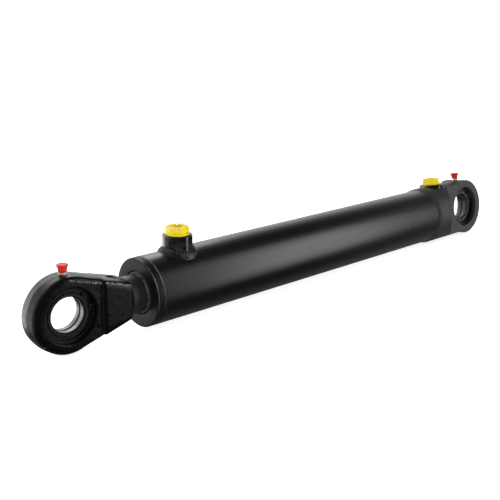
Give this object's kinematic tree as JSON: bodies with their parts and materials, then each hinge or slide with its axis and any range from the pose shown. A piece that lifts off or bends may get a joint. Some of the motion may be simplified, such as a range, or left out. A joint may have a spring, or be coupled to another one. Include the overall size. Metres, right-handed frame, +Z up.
{
  "type": "hydraulic cylinder",
  "caption": "Double-acting welded hydraulic cylinder, stored retracted, with a spherical bearing eye at each end, plugged hose ports and capped grease nipples.",
  "frame": {"origin": "centre of the base pin, in the middle of the base bearing", "axes": "+X along the cylinder from the rod end towards the base, +Y along the base pin, +Z up, the way the rear port faces"},
  "size_m": [0.7363, 0.0766, 0.1027],
  "materials": {
    "black_paint": "semi-gloss black paint over the tube, the base end and the ports",
    "gland_black": "satin black paint over the turned gland",
    "forging_black": "semi-gloss black paint over a forged skin",
    "chrome_rod": "hard chrome, ground and polished",
    "machined_steel": "turned steel",
    "zinc_plate": "bright zinc plate",
    "bearing_steel": "ground bore, overspray on the side faces",
    "phosphated_steel": "black phosphate with overspray",
    "red_plastic": "moulded polyethylene",
    "yellow_plastic": "moulded polyethylene",
    "seal_rubber": "moulded nitrile rubber",
    "guide_resin": "turned fabric-reinforced resin",
    "seal_polyurethane": "moulded polyurethane"
  },
  "bodies": {
    "barrel": {"cylinder_tube": "black_paint", "base_end": "black_paint", "base_weld": "black_paint", "front_port_boss": "black_paint", "front_port_weld": "black_paint", "rear_port_boss": "black_paint", "rear_port_weld": "black_paint", "gland": "gland_black", "gland_o_ring": "seal_rubber", "gland_backup_ring": "guide_resin", "rod_wiper": "seal_polyurethane", "rod_seal": "seal_polyurethane", "rod_guide_ring": "guide_resin", "base_bearing_outer_ring": "phosphated_steel", "base_circlip_near": "phosphated_steel", "base_circlip_far": "phosphated_steel", "base_grease_nipple": "zinc_plate"},
    "piston_rings": {"piston_seal": "seal_polyurethane", "piston_seal_energiser": "seal_rubber", "piston_guide_ring_front": "guide_resin", "piston_guide_ring_rear": "guide_resin"},
    "rod": {"piston_rod": "chrome_rod", "piston": "machined_steel", "piston_nut": "zinc_plate", "piston_bore_o_ring": "seal_rubber", "rod_end": "forging_black", "rod_end_set_screw": "phosphated_steel", "rod_end_bearing_outer_ring": "phosphated_steel", "rod_end_circlip_near": "phosphated_steel", "rod_end_circlip_far": "phosphated_steel", "rod_end_grease_nipple": "zinc_plate"},
    "rod_end_ball": {"rod_end_bearing_inner_ring": "bearing_steel"},
    "base_ball": {"base_bearing_inner_ring": "bearing_steel"},
    "front_plug": {"front_port_plug": "yellow_plastic"},
    "rear_plug": {"rear_port_plug": "yellow_plastic"},
    "rod_end_cap": {"rod_end_nipple_cap": "red_plastic"},
    "base_cap": {"base_nipple_cap": "red_plastic"}
  },
  "joints": [
    {"name": "rod_stroke", "type": "slide", "parent": "barrel", "child": "piston_rings", "axis": [-1, 0, 0], "range_m": [0, 0.35]},
    {"name": "rod_turn", "type": "hinge", "parent": "piston_rings", "child": "rod", "pos_m": [-0.1406, 0, 0], "axis": [1, 0, 0], "continuous": true},
    {"name": "rod_end_ball_turn", "type": "hinge", "parent": "rod", "child": "rod_end_ball", "pos_m": [-0.6583, 0, 0], "axis": [0, 0.9877, 0.1564], "continuous": true},
    {"name": "base_ball_turn", "type": "hinge", "parent": "barrel", "child": "base_ball", "pos_m": [0, 0, 0], "axis": [0, 1, 0], "continuous": true},
    {"name": "front_plug_out", "type": "slide", "parent": "barrel", "child": "front_plug", "axis": [0, -0.1564, 0.9877], "range_m": [0, 0.009]},
    {"name": "rear_plug_out", "type": "slide", "parent": "barrel", "child": "rear_plug", "axis": [0, 0, 1], "range_m": [0, 0.009]},
    {"name": "rod_end_cap_off", "type": "slide", "parent": "rod", "child": "rod_end_cap", "axis": [0, -0.1564, 0.9877], "range_m": [0, 0.005]},
    {"name": "base_cap_off", "type": "slide", "parent": "barrel", "child": "base_cap", "axis": [0, 0, 1], "range_m": [0, 0.005]}
  ]
}
